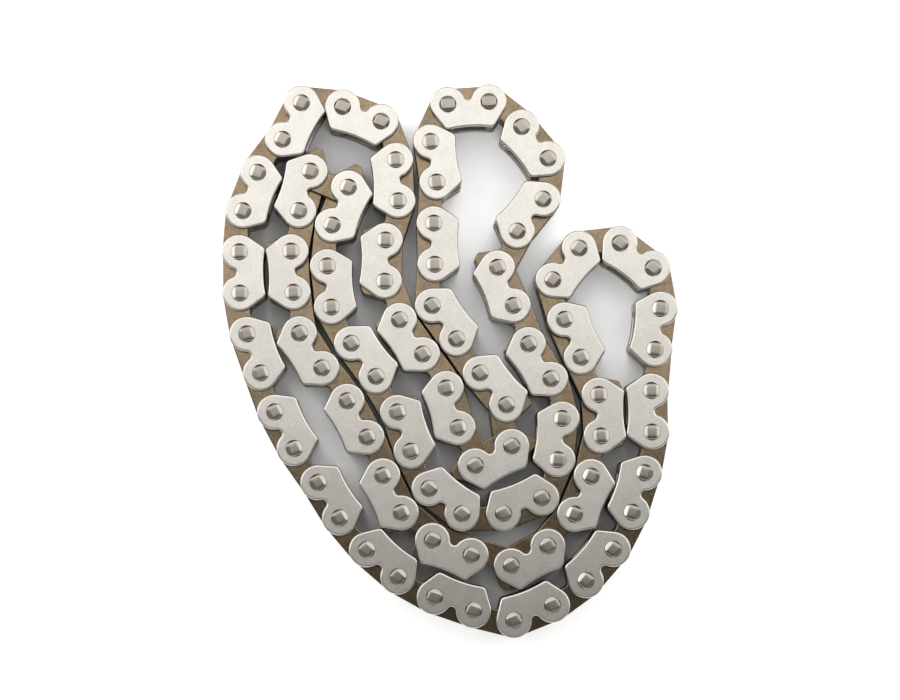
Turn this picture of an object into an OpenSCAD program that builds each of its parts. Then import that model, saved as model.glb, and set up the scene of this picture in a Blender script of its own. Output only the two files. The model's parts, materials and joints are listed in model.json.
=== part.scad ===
// Timing chain: an endless inverted-tooth chain of 94 links, laid on its side in loose folds.
// Guide links carry two riveted pins and an outer guide plate on each side.
// Joining links are sets of tooth plates that turn on the pins of two guide links.
// Frame: the pins stand along Z with their lower ends on Z = 0, and the lay is centred on X and Y.

/* [Chain] */
// Distance between neighbouring pin centres
pitch = 6.35; // [5:0.05:10]
// Thickness of an outer guide plate
guide_t = 1; // [0.6:0.05:1.6]
// Thickness of a tooth plate
tooth_t = 1.25; // [0.8:0.05:2]
// Tooth plates of a joining link, with one fewer in a guide link
joining_rows = 3; // [3:1:5]
// Side play between plates that lie on each other
side_play = 0.05; // [0.02:0.01:0.2]

/* [Pins] */
// Diameter of a pin
pin_d = 2.54; // [1.8:0.02:2.8]
// Running clearance round a pin in a tooth plate
pin_play = 0.05; // [0.01:0.01:0.1]
// How far a riveted pin end stands out of its guide plate
pin_proud = 0.35; // [0.1:0.05:0.8]
// Width of the flat band across a pin end
pin_band_w = 1.25; // [0.8:0.05:1.6]
// Drop of the sloping facet beside the band, at the pin's rim
pin_facet_drop = 0.35; // [0.1:0.05:0.9]
// Bevel round the rim of a pin end
pin_bevel = 0.2; // [0.05:0.05:0.4]

/* [Guide plate outline, in pitches] */
// Radius of the lobe round each pin
guide_lobe = 0.428; // [0.38:0.001:0.44]
// Distance of a shoulder's round from the plate's middle
guide_shoulder_x = 0.52; // [0.5:0.005:0.6]
// Height of a shoulder's round above the pin line
guide_shoulder_y = 0.48; // [0.45:0.005:0.55]
// Radius of a shoulder
guide_shoulder_round = 0.135; // [0.05:0.005:0.15]
// Height of the hollow edge at the plate's middle
guide_edge = 0.57; // [0.5:0.005:0.62]
// Radius of the notch between the lobes
guide_notch_round = 0.105; // [0.08:0.005:0.2]

/* [Tooth plate outline, in pitches] */
// Height of the back and radius of the round ends
tooth_back = 0.42; // [0.38:0.005:0.43]
// Height of the tooth tips above the pin line
tooth_tip = 0.595; // [0.5:0.005:0.62]
// Half the flat of a tooth tip
tooth_tip_flat = 0.047; // [0.02:0.001:0.08]
// Radius of a tooth tip's corners
tooth_tip_round = 0.08; // [0.05:0.005:0.1]
// Height of the crotch between the teeth
tooth_crotch = 0.155; // [0.1:0.005:0.25]
// Radius of the crotch
tooth_crotch_round = 0.17; // [0.1:0.005:0.2]

/* [Hidden] */
$fn = 48;

// The lay, in path order, as strands: where each starts, in pitches from the middle, and the
// headings of its links in degrees from +X. Guide and joining links take turns, a guide link
// first, and the teeth lie to the left of the way.
strands = [
    // Down the outside on the left
    [[-3.61, 6.20], [
        241.5, 232, 248, 264.5, 270.5, 279.5, 289.5, 290,
        298.5, 305.5, 302, 311, 320, 332, 342.5, 347.5
    ]],
    // Up the outside on the right
    [[1.53, -6.31], [20.5, 35, 48.5, 62.5, 72.5, 80, 91.5, 85.5, 83, 101]],
    // Round the right loop
    [[4.91, 2.20], [144.5, 189.5, 232.5, 286.5]],
    // Down the second row on the right
    [[2.76, 0.95], [292.5, 294.5, 272, 255.5, 246, 230, 208.5, 166.5]],
    // Up the second row on the left, to the sharp fold
    [[0.50, -4.74], [158.5, 138, 116, 112, 118.5, 127, 122.5, 98.5, 93, 79, 74, 337.5]],
    // Down the third row on the left
    [[-2.47, 4.15], [248.5, 264.5, 276.5, 299, 306.5, 301, 289.5, 296, 322, 358.5]],
    // Up the third row on the right
    [[1.28, -3.74], [23, 67.5, 84, 105.5, 122, 111, 112, 62]],
    // Round the top loop
    [[1.62, 3.09], [51, 83, 130, 142.5, 184, 245.5, 278.5, 266]],
    // Down the middle, to the second sharp fold
    [[-0.40, 3.28], [271.5, 267, 305.5, 304, 309, 277.5, 209.5, 114.5]],
    // Up the middle, back to the start
    [[0.19, -1.67], [106.5, 125, 124, 111, 88.5, 71.5, 93, 110.5, 160, 175.5]]
];
strand_count = len(strands);
left_links = len(strands[0][1]) / 2;
loose_links = left_links + len(strands[1][1]) / 2;
fitting_rounds = 5;

function way(a) = [cos(a), sin(a)];
function across(a) = [-sin(a), cos(a)];
function total(list) = [for (item = list) 1] * list;

// The chosen headings end a strand a little beside the start of the next one.
// Every link of the strand turns a little, by least squares, until the two meet.
function fitted(headings, span, rounds) =
    rounds < 1 ? headings :
    let (
        miss = total([for (a = headings) way(a)]) - span,
        xx = total([for (a = headings) sin(a) * sin(a)]),
        xy = total([for (a = headings) -sin(a) * cos(a)]),
        yy = total([for (a = headings) cos(a) * cos(a)]),
        share = [yy * miss.x - xy * miss.y, xx * miss.y - xy * miss.x] / (xx * yy - xy * xy)
    )
    fitted([for (a = headings) a - share * across(a) * 180 / PI], span, rounds - 1);

headings = [
    for (s = [0:strand_count - 1])
        let (span = strands[(s + 1) % strand_count][0] - strands[s][0])
            each fitted(strands[s][1], span, fitting_rounds)
];
links = len(headings);
guide_links = links / 2;
path = [
    for (i = 0, at = [0, 0]; i < links; at = at + pitch * way(headings[i]), i = i + 1) at
];
path_x = [for (at = path) at.x];
path_y = [for (at = path) at.y];
path_middle = [max(path_x) + min(path_x), max(path_y) + min(path_y)] / 2;
pin_at = [for (at = path) at - path_middle];

// The stack of plates, from the lower pin ends up
tooth_rows = 2 * joining_rows - 1;
row_step = tooth_t + side_play;
lower_guide_z = pin_proud;
first_row_z = lower_guide_z + guide_t + side_play;
upper_guide_z = first_row_z + tooth_rows * row_step;
chain_w = upper_guide_z + guide_t + pin_proud;
pin_r = pin_d / 2;
cut_margin = 1;

// Rounds lap over the straight sides and hollows that they run into by this much, so that each
// outline closes to one line
round_lap = 0.002;

// Outlines in millimetres, on the right half of a plate
pin_side = [pitch / 2, 0];
lobe_r = guide_lobe * pitch;
shoulder_r = guide_shoulder_round * pitch;
shoulder = [guide_shoulder_x, guide_shoulder_y] * pitch;
edge_y = guide_edge * pitch;
notch_r = guide_notch_round * pitch;
back_r = tooth_back * pitch;
tip_r = tooth_tip_round * pitch;
tip_y = tooth_tip * pitch;
tip_outer = pin_side + [tooth_tip_flat * pitch, tip_y - tip_r];
tip_inner = pin_side + [-tooth_tip_flat * pitch, tip_y - tip_r];
crotch_r = tooth_crotch_round * pitch;
crotch = [0, tooth_crotch * pitch + crotch_r];

// The link that the loop is opened at: its first pin is two rivet ends with a gap between them
open_link = left_links + 1;

function mirrored(points) =
    concat(points, [for (i = [len(points) - 1:-1:0]) [-points[i].x, points[i].y]]);

// Where a line touches two rounds, on the right of the way from the first to the second.
// A round of negative radius is touched from its other side.
function tangent(c1, r1, c2, r2) =
    let (
        d = c2 - c1,
        a = atan2(d.y, d.x) - acos((r1 - r2) / norm(d))
    )
    [c1 + r1 * way(a), c2 + r2 * way(a)];

function guide_index(k) = 2 * (k - 1);
function joining_index(k) = 2 * k - 1;

// Puts its children on a link, with X along the link and Y towards the teeth
module on_link(i) {
    middle = (pin_at[i] + pin_at[(i + 1) % links]) / 2;
    translate(middle)
        rotate(headings[i])
            children();
}

module both_sides() {
    children();
    mirror([1, 0, 0])
        children();
}

module bores(d) {
    both_sides()
        translate(pin_side)
            circle(d = d);
}

module guide_outline() {
    notch_y = sqrt(pow(lobe_r + notch_r, 2) - pow(pin_side.x, 2));
    notch = [0, -notch_y];
    notch_start = pin_side + lobe_r * (notch - pin_side) / norm(notch - pin_side);
    rise = shoulder.y - edge_y;
    edge_r = (pow(shoulder.x, 2) + pow(rise, 2) - pow(shoulder_r, 2)) / (2 * (shoulder_r + rise));
    edge = [0, edge_y + edge_r];
    edge_end = shoulder + shoulder_r * (edge - shoulder) / norm(edge - shoulder);
    flank = tangent(pin_side, lobe_r - round_lap, shoulder, shoulder_r - round_lap);
    difference() {
        polygon(mirrored([notch_start, pin_side, flank[0], flank[1], shoulder, edge_end]));
        translate(notch)
            circle(r = notch_r + round_lap);
        translate(edge)
            circle(r = edge_r + round_lap);
    }
    both_sides() {
        translate(pin_side)
            circle(r = lobe_r);
        translate(shoulder)
            circle(r = shoulder_r);
    }
}

module tooth_outline() {
    flank = tangent(pin_side, back_r - round_lap, tip_outer, tip_r - round_lap);
    inner_flank = tangent(tip_inner, tip_r - round_lap, crotch, -crotch_r);
    back = [pin_side.x, round_lap - back_r];
    tip_top = [[tip_outer.x, tip_y - round_lap], [tip_inner.x, tip_y - round_lap]];
    half = concat([back, pin_side], flank, [tip_outer], tip_top, [tip_inner], inner_flank);
    difference() {
        polygon(mirrored(half));
        translate(crotch)
            circle(r = crotch_r + round_lap);
    }
    both_sides() {
        translate(pin_side)
            circle(r = back_r);
        translate(tip_outer)
            circle(r = tip_r);
        translate(tip_inner)
            circle(r = tip_r);
    }
}

module guide_plate(z) {
    color("gainsboro")
        translate([0, 0, z])
            linear_extrude(guide_t)
                difference() {
                    guide_outline();
                    bores(pin_d);
                }
}

module tooth_plate(row) {
    color("rosybrown")
        translate([0, 0, first_row_z + row * row_step])
            linear_extrude(tooth_t)
                difference() {
                    tooth_outline();
                    bores(pin_d + 2 * pin_play);
                }
}

// A sloping cut beside the band of an upper pin end
module facet_cut() {
    reach = pin_r - pin_band_w / 2;
    out = reach + cut_margin;
    rotate([90, 0, 90])
        linear_extrude(pin_d + cut_margin, center = true)
            translate([pin_band_w / 2, chain_w])
                polygon([[0, 0], [out, -pin_facet_drop * out / reach], [out, 0]]);
}

module pin() {
    half_section = [
        [0, 0], [pin_r - pin_bevel, 0], [pin_r, pin_bevel],
        [pin_r, chain_w - pin_bevel], [pin_r - pin_bevel, chain_w], [0, chain_w]
    ];
    color("darkgray")
        difference() {
            rotate_extrude()
                polygon(half_section);
            for (side = [0, 180])
                rotate(side) {
                    facet_cut();
                    translate([0, 0, chain_w])
                        mirror([0, 0, 1])
                            facet_cut();
                }
        }
}

// The two rivet ends of a pin, with nothing between the guide plates
module open_pin() {
    difference() {
        pin();
        translate([0, 0, lower_guide_z + guide_t])
            cylinder(r = pin_r + cut_margin, h = upper_guide_z - lower_guide_z - guide_t);
    }
}

module guide_plates(k) {
    on_link(guide_index(k)) {
        guide_plate(lower_guide_z);
        guide_plate(upper_guide_z);
    }
}

module inner_plates(k) {
    on_link(guide_index(k))
        for (row = [1:2:tooth_rows - 2])
            tooth_plate(row);
}

module pins(k) {
    on_link(guide_index(k)) {
        translate(-pin_side)
            if (k == open_link)
                open_pin();
            else
                pin();
        translate(pin_side)
            pin();
    }
}

module joining_plates(k) {
    on_link(joining_index(k))
        for (row = [0:2:tooth_rows - 1])
            tooth_plate(row);
}

module packed_lower_guide_plates() {
    for (k = [loose_links + 1:guide_links])
        on_link(guide_index(k))
            guide_plate(lower_guide_z);
}

module packed_upper_guide_plates() {
    for (k = [loose_links + 1:guide_links])
        on_link(guide_index(k))
            guide_plate(upper_guide_z);
}

module packed_pins() {
    for (k = [loose_links + 1:guide_links])
        pins(k);
}

module packed_inner_plates() {
    for (k = [loose_links + 1:guide_links])
        inner_plates(k);
}

module packed_joining_plates(rows) {
    for (k = [loose_links + 1:guide_links - 1])
        on_link(joining_index(k))
            for (row = rows)
                tooth_plate(row);
}

module packed_lower_joining_plates() {
    packed_joining_plates([0]);
}

module packed_middle_joining_plates() {
    packed_joining_plates([2:2:tooth_rows - 3]);
}

module packed_upper_joining_plates() {
    packed_joining_plates([tooth_rows - 1]);
}

loose_guides = [1:loose_links];
loose_joinings = concat([guide_links], [for (k = loose_guides) k]);

packed_lower_guide_plates();
packed_upper_guide_plates();
packed_pins();
packed_inner_plates();
packed_lower_joining_plates();
packed_middle_joining_plates();
packed_upper_joining_plates();
for (k = loose_guides) {
    guide_plates(k);
    inner_plates(k);
    pins(k);
}
for (k = loose_joinings)
    joining_plates(k);
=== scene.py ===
import json
import math

import bmesh
import bpy
import numpy as np
from mathutils import Matrix, Vector


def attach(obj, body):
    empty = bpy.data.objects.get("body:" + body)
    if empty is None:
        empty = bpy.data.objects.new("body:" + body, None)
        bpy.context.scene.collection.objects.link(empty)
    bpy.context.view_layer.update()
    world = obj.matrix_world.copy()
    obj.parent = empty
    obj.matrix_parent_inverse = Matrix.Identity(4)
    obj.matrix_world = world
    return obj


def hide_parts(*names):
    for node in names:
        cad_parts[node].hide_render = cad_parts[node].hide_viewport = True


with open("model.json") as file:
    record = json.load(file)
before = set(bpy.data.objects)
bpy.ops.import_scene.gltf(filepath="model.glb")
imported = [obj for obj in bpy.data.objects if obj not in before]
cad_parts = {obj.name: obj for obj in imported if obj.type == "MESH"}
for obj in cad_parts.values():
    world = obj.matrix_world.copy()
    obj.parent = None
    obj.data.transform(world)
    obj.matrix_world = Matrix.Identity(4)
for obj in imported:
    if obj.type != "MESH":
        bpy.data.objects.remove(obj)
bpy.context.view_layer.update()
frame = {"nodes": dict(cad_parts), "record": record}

mm = 0.001
bodies = frame["record"]["behaviour"]["bodies"]
bodyOf = {node: body for body, nodes in bodies.items() for node in nodes}

# How the lay is read from the frame, in metres
reading = {
    "weld": 1e-6,         # points nearer than this are one point
    "ownPin": 1.5 * mm,   # only a plate's own two pins stand this near to its points
    "decimals": 5,        # pin centres that agree to so many decimals are one pin's
    "nearEnd": 0.1 * mm,  # a pin that comes this near to the lay's bottom or top has a shaped end there
}


# A mesh's points as one array
def pointsOf(mesh):
    points = np.empty(len(mesh.vertices) * 3, np.float32)
    mesh.vertices.foreach_get("co", points)
    return points.reshape(-1, 3).astype(float)


# The separate solids of a node, as arrays of points: every triangle takes the lowest label of its
# corners until no label changes.
def solidsOf(node):
    mesh = frame["nodes"][node].data
    points = pointsOf(mesh)
    mesh.calc_loop_triangles()
    corners = np.empty(len(mesh.loop_triangles) * 3, np.int32)
    mesh.loop_triangles.foreach_get("vertices", corners)
    cells = np.round(points / reading["weld"]).astype(np.int64)
    same = np.unique(cells, axis=0, return_inverse=True)[1].ravel()
    corners = same[corners].reshape(-1, 3)
    label = np.arange(same.max() + 1)
    while True:
        lowest = label.copy()
        np.minimum.at(lowest, corners.ravel(), np.repeat(label[corners].min(axis=1), 3))
        lowest = lowest[lowest]
        if np.array_equal(lowest, label):
            break
        label = lowest
    return [points[label[same] == k] for k in np.unique(label)]


# The middle of a solid's box, seen from above
def middleOf(points):
    flat = points[:, :2]
    return (flat.min(axis=0) + flat.max(axis=0)) / 2


solids = {node: solidsOf(node) for node in frame["nodes"]}
pinSolids = [s for node in solids if "pins" in node for s in solids[node]]
pinCentres = np.array([middleOf(s) for s in pinSolids])


# A plate's place: the middle of its two pins, the unit way along them with the teeth on its left, and
# its heights
def placeOf(points):
    flat = points[:, :2]
    gaps = np.linalg.norm(pinCentres[:, None] - flat[None], axis=2).min(axis=1)
    own = np.unique(np.round(pinCentres[gaps < reading["ownPin"]], reading["decimals"]), axis=0)
    middle = own.mean(axis=0)
    way = own[1] - own[0]
    way = way / np.linalg.norm(way)
    left = np.array([-way[1], way[0]])
    reach = (flat - middle) @ left
    if reach.max() + reach.min() < 0:
        way = -way
    low, high = points[:, 2].min(), points[:, 2].max()
    return {"middle": middle, "way": way, "low": low, "high": high, "pins": own}


places = {node: [placeOf(s) for s in solids[node]] for node in solids if "pins" not in node}
firstPins = places["guide_plates_1"][0]["pins"]
pitch = float(np.linalg.norm(firstPins[1] - firstPins[0]))
chainTop = max(s[:, 2].max() for s in pinSolids)
pinRadius = float(np.ptp(pinSolids[0][:, 0])) / 2
pinSide = np.array([pitch / 2, 0.0])  # the right pin of a plate, from the plate's middle
pinCount = len(np.unique(np.round(pinCentres, reading["decimals"]), axis=0))
print("lay: pitch %.3f mm, %d pins" % (pitch / mm, pinCount))


# The arrow of length 1 at an angle in degrees
def unitAt(angle):
    return np.array([math.cos(math.radians(angle)), math.sin(math.radians(angle))])


# The point of a round at an angle in degrees
def onRound(centre, radius, angle):
    return np.asarray(centre) + radius * unitAt(angle)


# Points on a round from one angle to another, with their outward normals; side -1 is a hollow round
def arcPoints(centre, radius, start, end, count, side=1):
    angle = np.radians(np.linspace(start, end, count))
    out = np.stack([np.cos(angle), np.sin(angle)], axis=1)
    return np.asarray(centre) + radius * out, side * out


# Points evenly along a straight line, all with the same normal
def linePoints(start, end, normalAngle, count):
    share = np.linspace(0, 1, count)[:, None]
    return start + share * (np.asarray(end) - start), np.tile(unitAt(normalAngle), (count, 1))


# The straight line that touches two rounds, each where its normal has the given angle
def tangentPoints(centre1, radius1, centre2, radius2, angle, count):
    start = onRound(centre1, radius1, angle)
    end = onRound(centre2, radius2, angle)
    return linePoints(start, end, angle, count)


# Angle of the normal of the line that touches two rounds, on the right of the way from one to the other
def tangentAngle(centre1, radius1, centre2, radius2):
    across = np.asarray(centre2) - centre1
    heading = math.atan2(across[1], across[0])
    return math.degrees(heading - math.acos((radius1 - radius2) / np.hypot(*across)))


# Runs of points end to end, without the points that two runs share
def joinRuns(runs):
    points = np.concatenate([p[:-1] for p, _ in runs[:-1]] + [runs[-1][0]])
    normals = np.concatenate([n[:-1] for _, n in runs[:-1]] + [runs[-1][1]])
    return points, normals


# Quads between the points of a grid, row by row; a closed grid also joins its last column to its first
def quadStrip(rows, columns, closed):
    across = columns if closed else columns - 1
    row, column = np.meshgrid(np.arange(rows - 1), np.arange(across), indexing="ij")
    after = (column + 1) % columns
    near = row * columns
    far = near + columns
    return np.stack([near + column, near + after, far + after, far + column], axis=-1).reshape(-1, 4)


# Merges the doubles of a shape, turns its faces outwards and gives it back as points and faces
def closedShape(points, quads):
    mesh = bpy.data.meshes.new("closing")
    mesh.from_pydata(points.tolist(), [], quads.tolist())
    closing = bmesh.new()
    closing.from_mesh(mesh)
    bmesh.ops.remove_doubles(closing, verts=closing.verts, dist=reading["weld"])
    bmesh.ops.recalc_face_normals(closing, faces=closing.faces)
    closing.to_mesh(mesh)
    closing.free()
    shape = (pointsOf(mesh), [list(face.vertices) for face in mesh.polygons])
    bpy.data.meshes.remove(mesh)
    return shape


# One plate lying flat on z 0. Its right half is two sheets: the rounded edge, which is the edge section
# carried along the outline, and the face, which runs straight from the outline in to the bore and
# through it. The left half is the mirror of the right one.
def plateShape(outline, normals, plate, thick):
    turn = np.radians(np.linspace(0, 90, plate["edgeSteps"] + 1))
    rim = plate["edgeRound"]
    inset = np.concatenate([[rim + plate["flatRim"]], rim * (1 - np.sin(turn))])
    drop = np.concatenate([[0], rim * (1 - np.cos(turn))])
    inset = np.concatenate([inset, inset[::-1]])
    height = np.concatenate([thick - drop, drop[::-1]])
    edge = np.empty((len(inset), len(outline), 3))
    edge[:, :, :2] = outline[None] - inset[:, None, None] * normals[None]
    edge[:, :, 2] = height[:, None]

    faceEdge = edge[0, :, :2]
    middle = np.linspace(faceEdge[-1], faceEdge[0], plate["middleSteps"] + 2)[1:-1]
    loop = np.concatenate([faceEdge, middle])
    away = loop - pinSide
    away /= np.linalg.norm(away, axis=1)[:, None]
    bore = pinRadius + plate["boreRoom"]
    chamfer = plate["boreChamfer"]
    rings = [
        (None, thick),                # along the outline
        (bore + 2 * chamfer, thick),  # a flat ring round the chamfer, as wide as it
        (bore + chamfer, thick),
        (bore, thick - chamfer),
    ]
    rings += [(radius, thick - z) for radius, z in rings[::-1]]
    face = np.empty((len(rings), len(loop), 3))
    for k, (radius, z) in enumerate(rings):
        face[k, :, :2] = loop if radius is None else pinSide + radius * away
        face[k, :, 2] = z

    points = np.concatenate([edge.reshape(-1, 3), face.reshape(-1, 3)])
    quads = np.concatenate([
        quadStrip(len(inset), len(outline), False),
        quadStrip(len(rings), len(loop), True) + edge.shape[0] * edge.shape[1],
    ])
    both = np.concatenate([points, points * [-1, 1, 1]])
    return closedShape(both, np.concatenate([quads, quads + len(points)]))


# Guide plate: two lobes round the pins with a notch between them, straight flanks and a hollow edge.
# Lengths are in pitches where the outline is, in metres where the section is.
guidePlate = {
    "lobe": 0.428,             # round about each pin
    "shoulder": (0.52, 0.48),  # centre of the shoulder's round, from the middle of the pins
    "shoulderRound": 0.135,
    "hollow": 0.57,            # height of the hollow edge at the middle
    "notchRound": 0.105,
    "edgeRound": 0.26 * mm,    # tumbled edge
    "flatRim": 0.06 * mm,      # flat strip inside the rounded edge
    "edgeSteps": 4,
    "boreRoom": 0.0,           # the pins are riveted tight
    "boreChamfer": 0.05 * mm,
    "middleSteps": 5,          # points along the line where the two halves meet
    "sharpAngle": 40,          # degrees between faces past which an edge shades as a sharp one
    "steps": {"notch": 7, "lobe": 30, "flank": 5, "shoulder": 8, "hollow": 9},  # points on each run
}


# The right half of a guide plate's outline, from the notch round the lobe to the middle of the hollow edge
def guideOutline(plate):
    lobe = plate["lobe"] * pitch
    shoulder = np.array(plate["shoulder"]) * pitch
    shoulderRound = plate["shoulderRound"] * pitch
    hollowHeight = plate["hollow"] * pitch
    notchRound = plate["notchRound"] * pitch
    notchDepth = math.sqrt((lobe + notchRound) ** 2 - pinSide[0] ** 2)
    notch = np.array([0.0, -notchDepth])
    rise = shoulder[1] - hollowHeight
    hollowRound = (shoulder[0] ** 2 + rise ** 2 - shoulderRound ** 2) / (2 * (shoulderRound + rise))
    hollow = np.array([0.0, hollowHeight + hollowRound])
    notchAngle = math.degrees(math.atan2(notchDepth, pinSide[0]))
    flank = tangentAngle(pinSide, lobe, shoulder, shoulderRound)
    hollowAngle = math.degrees(math.atan2(hollow[1] - shoulder[1], -shoulder[0]))
    steps = plate["steps"]
    return joinRuns([
        arcPoints(notch, notchRound, 90, notchAngle, steps["notch"], -1),
        arcPoints(pinSide, lobe, notchAngle - 180, flank, steps["lobe"]),
        tangentPoints(pinSide, lobe, shoulder, shoulderRound, flank, steps["flank"]),
        arcPoints(shoulder, shoulderRound, flank, hollowAngle, steps["shoulder"]),
        arcPoints(hollow, hollowRound, hollowAngle - 180, -90, steps["hollow"], -1),
    ])


# Tooth plate: straight back, round ends, two teeth over the pins and a round crotch between them
toothPlate = {
    "back": 0.42,           # from the pins to the straight back, and the round of the ends
    "tip": 0.595,           # height of the teeth over the pins
    "tipFlat": 0.047,       # half of the flat on a tooth
    "tipRound": 0.08,
    "crotch": 0.155,        # height of the crotch at the middle
    "crotchRound": 0.17,
    "edgeRound": 0.14 * mm,
    "flatRim": 0.04 * mm,
    "edgeSteps": 3,
    "boreRoom": 0.05 * mm,  # the plate turns on its pins
    "boreChamfer": 0.04 * mm,
    "middleSteps": 2,
    "sharpAngle": 50,
    "steps": {"back": 5, "end": 15, "flank": 4, "tip": 5, "crest": 2, "inner": 4, "crotch": 6},
}


# The right half of a tooth plate's outline, from the middle of the back over the tooth into the crotch
def toothOutline(plate):
    back = plate["back"] * pitch
    tipHeight = plate["tip"] * pitch
    tipFlat = plate["tipFlat"] * pitch
    tipRound = plate["tipRound"] * pitch
    crotchRound = plate["crotchRound"] * pitch
    tipOuter = pinSide + [tipFlat, tipHeight - tipRound]
    tipInner = pinSide + [-tipFlat, tipHeight - tipRound]
    crotch = np.array([0.0, plate["crotch"] * pitch + crotchRound])
    flank = tangentAngle(pinSide, back, tipOuter, tipRound)
    inner = tangentAngle(tipInner, tipRound, crotch, -crotchRound) + 360
    steps = plate["steps"]
    return joinRuns([
        linePoints(np.array([0.0, -back]), onRound(pinSide, back, -90), -90, steps["back"]),
        arcPoints(pinSide, back, -90, flank, steps["end"]),
        tangentPoints(pinSide, back, tipOuter, tipRound, flank, steps["flank"]),
        arcPoints(tipOuter, tipRound, flank, 90, steps["tip"]),
        tangentPoints(tipOuter, tipRound, tipInner, tipRound, 90, steps["crest"]),
        arcPoints(tipInner, tipRound, 90, inner, steps["tip"]),
        tangentPoints(tipInner, tipRound, crotch, -crotchRound, inner, steps["inner"]),
        arcPoints(crotch, crotchRound, inner + 180, 270, steps["crotch"], -1),
    ])


# Rivet pin: its end is a band along the link, with a facet sloping down on each side and a bevelled rim
rivetPin = {
    "band": 1.25 * mm,
    "facetDrop": 0.35 * mm,    # how far a facet falls from the band's edge to the pin's side
    "bandRound": 0.022 * mm,   # softness of the edge between band and facet
    "rimWidth": 0.34 * mm,
    "rimDrop": 0.22 * mm,
    "rimBlend": 0.04 * mm,     # softness of the edge between facet and rim
    "rows": 9,                 # rows of points on a facet, the band's edge among them
    "softRows": (0, 1, 2, 4),  # rows inside the band's edge, in bandRounds from it
    # Points along a row, as shares of half its length, closer together on the rim
    "columns": (-1, -0.97, -0.93, -0.88, -0.82, -0.74, -0.4, 0, 0.4, 0.74, 0.82, 0.88, 0.93, 0.97, 1),
    "sharpAngle": 30,
}


# Depth of a pin end under its band: the deeper of the facet's slope, which starts softly at the band's
# edge, and the bevel, which grows with the square of the way into the rim. A small blend joins the two.
def endDepth(pin, x, y):
    half, soft, blend = pin["band"] / 2, pin["bandRound"], pin["rimBlend"]
    slope = pin["facetDrop"] / (pinRadius - half)
    facet = slope * soft * np.logaddexp(0, (np.abs(y) - half) / soft)
    past = np.clip((np.hypot(x, y) - pinRadius + pin["rimWidth"]) / pin["rimWidth"], 0, 1)
    bevel = pin["rimDrop"] * past ** 2
    return (facet + bevel + np.sqrt((facet - bevel) ** 2 + blend ** 2) - blend) / 2


# A pin from one height to another: each end is a grid of rows across the band, cut by the pin's round,
# and the side joins the rims of the two grids.
def pinShape(pin, low, high, lowShaped, highShaped):
    half = pin["band"] / 2
    beside = np.linspace(0, 1, pin["rows"])[1:]
    outer = half + (pinRadius - half) * beside
    inner = half - pin["bandRound"] * np.array(pin["softRows"])
    rows = np.concatenate([-outer[::-1], -inner, inner[::-1], outer])
    columns = np.array(pin["columns"])
    y = np.repeat(rows[:, None], len(columns), axis=1)
    x = columns[None] * np.sqrt(np.maximum(pinRadius ** 2 - y ** 2, 0))
    depth = endDepth(pin, x, y)
    upper = np.stack([x, y, high - depth * highShaped], axis=-1)
    lower = np.stack([x, y, low + depth * lowShaped], axis=-1)
    grids = np.concatenate([upper.reshape(-1, 3), lower.reshape(-1, 3)])
    sheet = quadStrip(len(rows), len(columns), False)
    wall = np.stack([np.concatenate([grid[:, -1], grid[::-1, 0]]) for grid in (upper, lower)])
    points = np.concatenate([grids, wall.reshape(-1, 3)])
    quads = np.concatenate([
        sheet,
        sheet + len(rows) * len(columns),
        quadStrip(2, wall.shape[1], True) + len(grids),
    ])
    return closedShape(points, quads)


# Copies of one shape turned onto their places and joined to one set of points and faces
def placedCopies(shape, spots):
    points, faces = shape
    middle = np.array([s["middle"] for s in spots])
    way = np.array([s["way"] for s in spots])
    low = np.array([s["low"] for s in spots])
    x = middle[:, :1] + way[:, :1] * points[:, 0] - way[:, 1:] * points[:, 1]
    y = middle[:, 1:] + way[:, 1:] * points[:, 0] + way[:, :1] * points[:, 1]
    z = low[:, None] + points[:, 2]
    placed = np.stack([x, y, z], axis=-1).reshape(-1, 3)
    starts = range(0, len(placed), len(points))
    return placed, [[corner + start for corner in face] for start in starts for face in faces]


toneSeed = 47
toneSource = np.random.default_rng(toneSeed)


# A finished piece stands for its node, rides on the node's body and has one tone for each of its
# solids. The facet highlight is 1 at the points of a pin's sloping facets, which get a painted highlight.
def finishPiece(node, shapes, material, sharpAngle, ground=None):
    points = np.concatenate([p for p, _ in shapes])
    starts = np.cumsum([0] + [len(p) for p, _ in shapes[:-1]])
    faces = [[int(c + start) for c in face] for start, (_, made) in zip(starts, shapes) for face in made]
    mesh = bpy.data.meshes.new("finished_" + node)
    mesh.from_pydata(points.tolist(), [], faces)
    mesh.polygons.foreach_set("use_smooth", np.ones(len(faces), bool))
    mesh.set_sharp_from_angle(angle=math.radians(sharpAngle))
    copies = len(solids[node])
    tones = np.repeat(toneSource.random(copies), len(points) // copies)
    tone = mesh.attributes.new("tone", "FLOAT", "POINT")
    tone.data.foreach_set("value", tones.astype(np.float32))
    if ground is not None:
        paintedHighlight = mesh.attributes.new("ground", "FLOAT", "POINT")
        paintedHighlight.data.foreach_set("value", ground.astype(np.float32))
    mesh.materials.append(material)
    piece = bpy.data.objects.new("finished_" + node, mesh)
    bpy.context.scene.collection.objects.link(piece)
    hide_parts(node)
    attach(piece, bodyOf[node])


# A new material with its nodes, its links and its shader
def newMaterial(name):
    material = bpy.data.materials.new(name)
    material.use_nodes = True
    tree = material.node_tree
    return material, tree.nodes, tree.links, tree.nodes["Principled BSDF"]


# A new shader node: a setting with a socket's name goes to that socket, any other to the node itself
def addNode(nodes, kind, **settings):
    made = nodes.new(kind)
    for key, value in settings.items():
        if key in made.inputs:
            made.inputs[key].default_value = value
        else:
            setattr(made, key, value)
    return made


# What the noises of all the steels have in common
grainNoise = {
    "fine": {"Detail": 2.0, "Roughness": 0.6},
    "broad": {"Detail": 3.0, "Roughness": 0.55},
}
# A Mix node's sockets for colours, which share their names with those for numbers
mixSockets = {"factor": 0, "before": 6, "after": 7, "result": 2}
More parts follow.
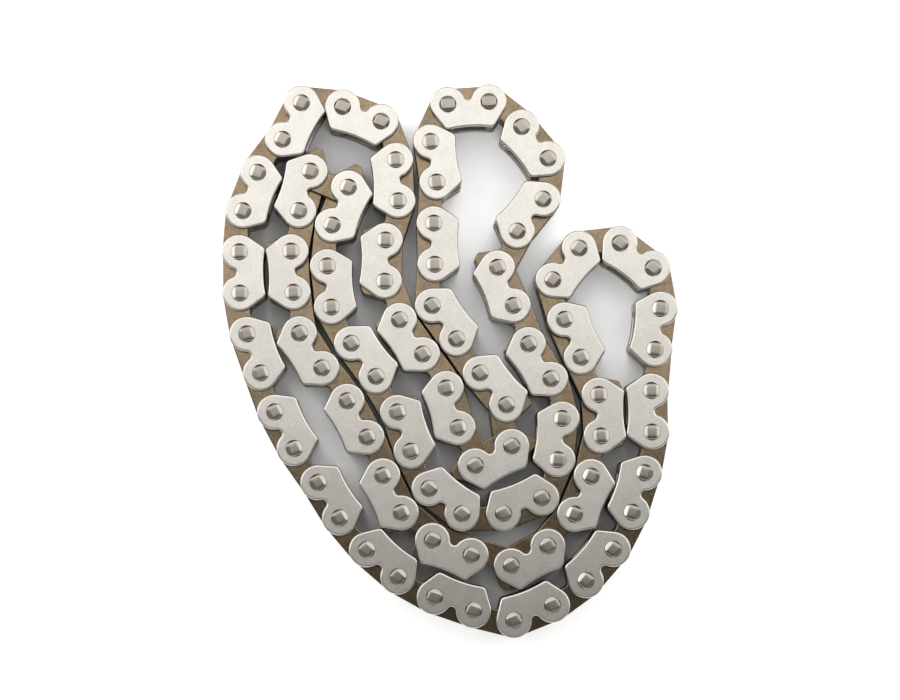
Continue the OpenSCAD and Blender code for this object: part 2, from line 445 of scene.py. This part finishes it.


# A ground or tumbled steel: two sizes of grain and the solid's tone in the colour, the fine grain in the
# roughness and the bump. Where a facet highlight colour is given, it is painted as a highlight on the
# points whose facet highlight is 1.
def steelMaterial(finish):
    material, nodes, links, shader = newMaterial(finish["name"])
    place = addNode(nodes, "ShaderNodeTexCoord")
    fine = addNode(nodes, "ShaderNodeTexNoise", Scale=finish["fineScale"], **grainNoise["fine"])
    broad = addNode(nodes, "ShaderNodeTexNoise", Scale=finish["broadScale"], **grainNoise["broad"])
    tone = addNode(nodes, "ShaderNodeAttribute", attribute_name="tone")
    links.new(place.outputs["Object"], fine.inputs["Vector"])
    links.new(place.outputs["Object"], broad.inputs["Vector"])
    grain = addNode(nodes, "ShaderNodeMath", operation="MULTIPLY_ADD")
    grain.inputs[1].default_value = finish["fineShare"]
    links.new(fine.outputs["Fac"], grain.inputs[0])
    cloud = addNode(nodes, "ShaderNodeMath", operation="MULTIPLY")
    cloud.inputs[1].default_value = finish["broadShare"]
    links.new(broad.outputs["Fac"], cloud.inputs[0])
    links.new(cloud.outputs[0], grain.inputs[2])
    mixed = addNode(nodes, "ShaderNodeMath", operation="MULTIPLY_ADD")
    mixed.inputs[1].default_value = finish["toneShare"]
    links.new(tone.outputs["Fac"], mixed.inputs[0])
    links.new(grain.outputs[0], mixed.inputs[2])
    ramp = addNode(nodes, "ShaderNodeValToRGB")
    darkStop, lightStop = ramp.color_ramp.elements
    darkStop.position, lightStop.position = finish["span"]
    darkStop.color = (*finish["dark"], 1)
    lightStop.color = (*finish["light"], 1)
    links.new(mixed.outputs[0], ramp.inputs["Fac"])
    colour = ramp.outputs["Color"]
    # Painted highlight: where the facet highlight is 1 the colour is swapped for a brighter one
    if "facetHighlightColour" in finish:
        ground = addNode(nodes, "ShaderNodeAttribute", attribute_name="ground")
        paintedHighlight = addNode(nodes, "ShaderNodeMix", data_type="RGBA")
        links.new(ground.outputs["Fac"], paintedHighlight.inputs[mixSockets["factor"]])
        links.new(colour, paintedHighlight.inputs[mixSockets["before"]])
        paintedHighlight.inputs[mixSockets["after"]].default_value = (*finish["facetHighlightColour"], 1)
        colour = paintedHighlight.outputs[mixSockets["result"]]
    links.new(colour, shader.inputs["Base Color"])
    gloss = addNode(nodes, "ShaderNodeMapRange")
    gloss.inputs["To Min"].default_value, gloss.inputs["To Max"].default_value = finish["roughness"]
    links.new(fine.outputs["Fac"], gloss.inputs["Value"])
    links.new(gloss.outputs["Result"], shader.inputs["Roughness"])
    bump = addNode(nodes, "ShaderNodeBump", Strength=finish["bump"], Distance=finish["bumpDepth"])
    links.new(fine.outputs["Fac"], bump.inputs["Height"])
    links.new(bump.outputs["Normal"], shader.inputs["Normal"])
    shader.inputs["Metallic"].default_value = 1.0
    return material


guideSteel = steelMaterial({
    "name": "tumbledSteel",
    "fineScale": 4200.0,   # scales of the grain, per metre
    "broadScale": 420.0,
    "fineShare": 0.6,      # what the grain and the solid's tone weigh in the colour
    "broadShare": 0.3,
    "toneShare": 0.1,
    "span": (0.38, 0.62),  # where in their sum the colour is dark, and where it is light
    "dark": (0.49, 0.466, 0.425),
    "light": (0.59, 0.565, 0.518),
    "roughness": (0.26, 0.33),
    "bump": 0.4,
    "bumpDepth": 0.02 * mm,
})
toothSteel = steelMaterial({
    "name": "bronzeBrownSteel",
    "fineScale": 2600.0,
    "broadScale": 500.0,
    "fineShare": 0.55,
    "broadShare": 0.35,
    "toneShare": 0.1,
    "span": (0.34, 0.66),
    "dark": (0.13, 0.098, 0.062),
    "light": (0.245, 0.185, 0.12),
    "roughness": (0.16, 0.22),
    "bump": 0.3,
    "bumpDepth": 0.02 * mm,
})
pinSteel = steelMaterial({
    "name": "groundPinSteel",
    "fineScale": 5200.0,
    "broadScale": 900.0,
    "fineShare": 0.5,
    "broadShare": 0.35,
    "toneShare": 0.15,
    "span": (0.25, 0.75),
    "dark": (0.235, 0.213, 0.18),
    "light": (0.335, 0.307, 0.262),
    # painted highlight: the sloping facets are coloured brighter than the band, for the light they catch
    "facetHighlightColour": (0.385, 0.357, 0.315),  # the sloping facets, brighter than the band
    "roughness": (0.26, 0.34),
    "bump": 0.2,
    "bumpDepth": 0.02 * mm,
})
print("materials: tumbled, bronze-brown and ground steel")


# How thick the plates of a node are
def thicknessOf(node):
    return places[node][0]["high"] - places[node][0]["low"]


guideShape = plateShape(*guideOutline(guidePlate), guidePlate, thicknessOf("guide_plates_1"))
toothShape = plateShape(*toothOutline(toothPlate), toothPlate, thicknessOf("inner_plates_1"))
print("shapes: guide plate %d faces, tooth plate %d faces" % (len(guideShape[1]), len(toothShape[1])))

guideSpots = [s for node in places if "guide_plates" in node for s in places[node]]
pinShapes = {}


# The placed shape of a pin, which lies along its guide link, and which of its points are on facets.
# An opened pin is two short ends, each with one shaped end.
def pinPiece(points):
    centre = middleOf(points)
    low, high = points[:, 2].min(), points[:, 2].max()
    link = min(guideSpots, key=lambda s: np.linalg.norm(s["pins"] - centre, axis=1).min())
    shapedEnds = (low < reading["nearEnd"], high > chainTop - reading["nearEnd"])
    if shapedEnds not in pinShapes:
        pinShapes[shapedEnds] = pinShape(rivetPin, 0.0, high - low, *shapedEnds)
    shape = pinShapes[shapedEnds]
    # the points on the facets, which get the painted highlight
    ground = np.abs(shape[0][:, 1]) > rivetPin["band"] / 2 + reading["weld"]
    return placedCopies(shape, [{"middle": centre, "way": link["way"], "low": low}]), ground


for node in solids:
    if "guide_plates" in node:
        shapes = [placedCopies(guideShape, places[node])]
        finishPiece(node, shapes, guideSteel, guidePlate["sharpAngle"])
    elif "pins" in node:
        shapes, facetHighlights = zip(*[pinPiece(s) for s in solids[node]])
        finishPiece(node, shapes, pinSteel, rivetPin["sharpAngle"], np.concatenate(facetHighlights))
    else:
        shapes = [placedCopies(toothShape, places[node])]
        finishPiece(node, shapes, toothSteel, toothPlate["sharpAngle"])
print("pieces:", len(solids), "made")

# Floor and surroundings
studio = {
    "floorSize": 4.0,
    "floorColour": (0.66, 0.655, 0.645),
    "floorRoughness": 0.9,
    "floorGlow": 0.65,         # lifts the pale floor to white where it is seen and open to the sky
    "floorShade": 0.014,       # how near a thing has to stand to shade the glow
    "glowOpen": (0.05, 0.36),  # the share of open sky at which the glow starts, and where it is full
    "worldColour": (0.19, 0.19, 0.19),
}
# Boxes of soft light: size, where the middle is, how it is turned in degrees and how bright it looks
lightBoxes = {
    "softBox": {"size": (2.7, 0.416), "middle": (-0.07, 0.212, 0.4), "turn": (0, 0, 0), "radiance": 1.75},
    "farBox": {"size": (1.6, 0.2), "middle": (-0.07, 0.52, 0.4), "turn": (0, 0, 0), "radiance": 1.8},
    "leftBox": {"size": (1.2, 0.6), "middle": (-0.9, 0.45, 0.6), "turn": (90, 0, -90), "radiance": 1.7},
    "rightBox": {"size": (1.2, 0.4), "middle": (0.9, 0.45, 0.28), "turn": (90, 0, 90), "radiance": 1.6},
    "nearBox": {"size": (3.0, 0.4), "middle": (0, -0.9, 0.23), "turn": (90, 0, 0), "radiance": 1.4},
}


# The floor glows only to the eye, in mirrors and through glass, and less the more of its sky is hidden,
# which paints shade into the gaps and loops of the chain and beside it
def makeFloor():
    half = studio["floorSize"] / 2
    corners = [(-half, -half, 0), (half, -half, 0), (half, half, 0), (-half, half, 0)]
    mesh = bpy.data.meshes.new("floor")
    mesh.from_pydata(corners, [], [(0, 1, 2, 3)])
    floor = bpy.data.objects.new("floor", mesh)
    bpy.context.scene.collection.objects.link(floor)
    material, nodes, links, shader = newMaterial("paleFloor")
    shader.inputs["Base Color"].default_value = (*studio["floorColour"], 1)
    shader.inputs["Roughness"].default_value = studio["floorRoughness"]
    shader.inputs["Specular IOR Level"].default_value = 0.0
    shader.inputs["Emission Color"].default_value = (1, 1, 1, 1)
    path = addNode(nodes, "ShaderNodeLightPath")
    seen = path.outputs["Is Camera Ray"]
    for ray in ("Is Glossy Ray", "Is Transmission Ray"):
        either = addNode(nodes, "ShaderNodeMath", operation="MAXIMUM")
        links.new(seen, either.inputs[0])
        links.new(path.outputs[ray], either.inputs[1])
        seen = either.outputs[0]
    # Painted shade: ambient occlusion dims the glow where the chain stands near, darkest in narrow gaps
    openSky = addNode(nodes, "ShaderNodeAmbientOcclusion", Distance=studio["floorShade"])
    glow = addNode(nodes, "ShaderNodeMapRange")
    glow.inputs["From Min"].default_value, glow.inputs["From Max"].default_value = studio["glowOpen"]
    glow.inputs["To Max"].default_value = studio["floorGlow"]
    links.new(openSky.outputs["AO"], glow.inputs["Value"])
    shaded = addNode(nodes, "ShaderNodeMath", operation="MULTIPLY")
    links.new(seen, shaded.inputs[0])
    links.new(glow.outputs["Result"], shaded.inputs[1])
    links.new(shaded.outputs[0], shader.inputs["Emission Strength"])
    mesh.materials.append(material)


# A lamp's energy is its radiance times its area times pi
def makeBox(name, box):
    lamp = bpy.data.lights.new(name, "AREA")
    lamp.shape = "RECTANGLE"
    lamp.size, lamp.size_y = box["size"]
    lamp.energy = math.pi * lamp.size * lamp.size_y * box["radiance"]
    holder = bpy.data.objects.new(name, lamp)
    holder.location = box["middle"]
    holder.rotation_euler = [math.radians(a) for a in box["turn"]]
    bpy.context.scene.collection.objects.link(holder)


def makeWorld():
    world = bpy.data.worlds.new("studio")
    world.use_nodes = True
    world.node_tree.nodes["Background"].inputs["Color"].default_value = (*studio["worldColour"], 1)
    bpy.context.scene.world = world


makeFloor()
for name, box in lightBoxes.items():
    makeBox(name, box)
makeWorld()
bpy.context.scene.view_settings.view_transform = "Standard"

# The camera stands over a point below and left of the lay's middle and leans a little towards it
view = {
    "place": (-0.0084, -0.0245, 0.510),
    "target": (0.0000, 0.0015, 0.00925),
    "lens": 130.9,
    "sensor": 36.0,
    "clip": (0.01, 10),  # nearest and farthest that it sees
}


# The turn that looks from a place to a target, with +Y upwards in the picture
def aimed(place, target):
    look = (Vector(target) - Vector(place)).normalized()
    right = look.cross(Vector((0, 1, 0))).normalized()
    return Matrix((right, right.cross(look), -look)).transposed().to_euler()


camera = bpy.data.cameras.new("camera")
camera.lens, camera.sensor_width = view["lens"], view["sensor"]
camera.clip_start, camera.clip_end = view["clip"]
cameraObject = bpy.data.objects.new("camera", camera)
cameraObject.location = view["place"]
cameraObject.rotation_euler = aimed(view["place"], view["target"])
bpy.context.scene.collection.objects.link(cameraObject)
bpy.context.scene.camera = cameraObject
print("studio: floor,", len(lightBoxes), "boxes of light and camera")
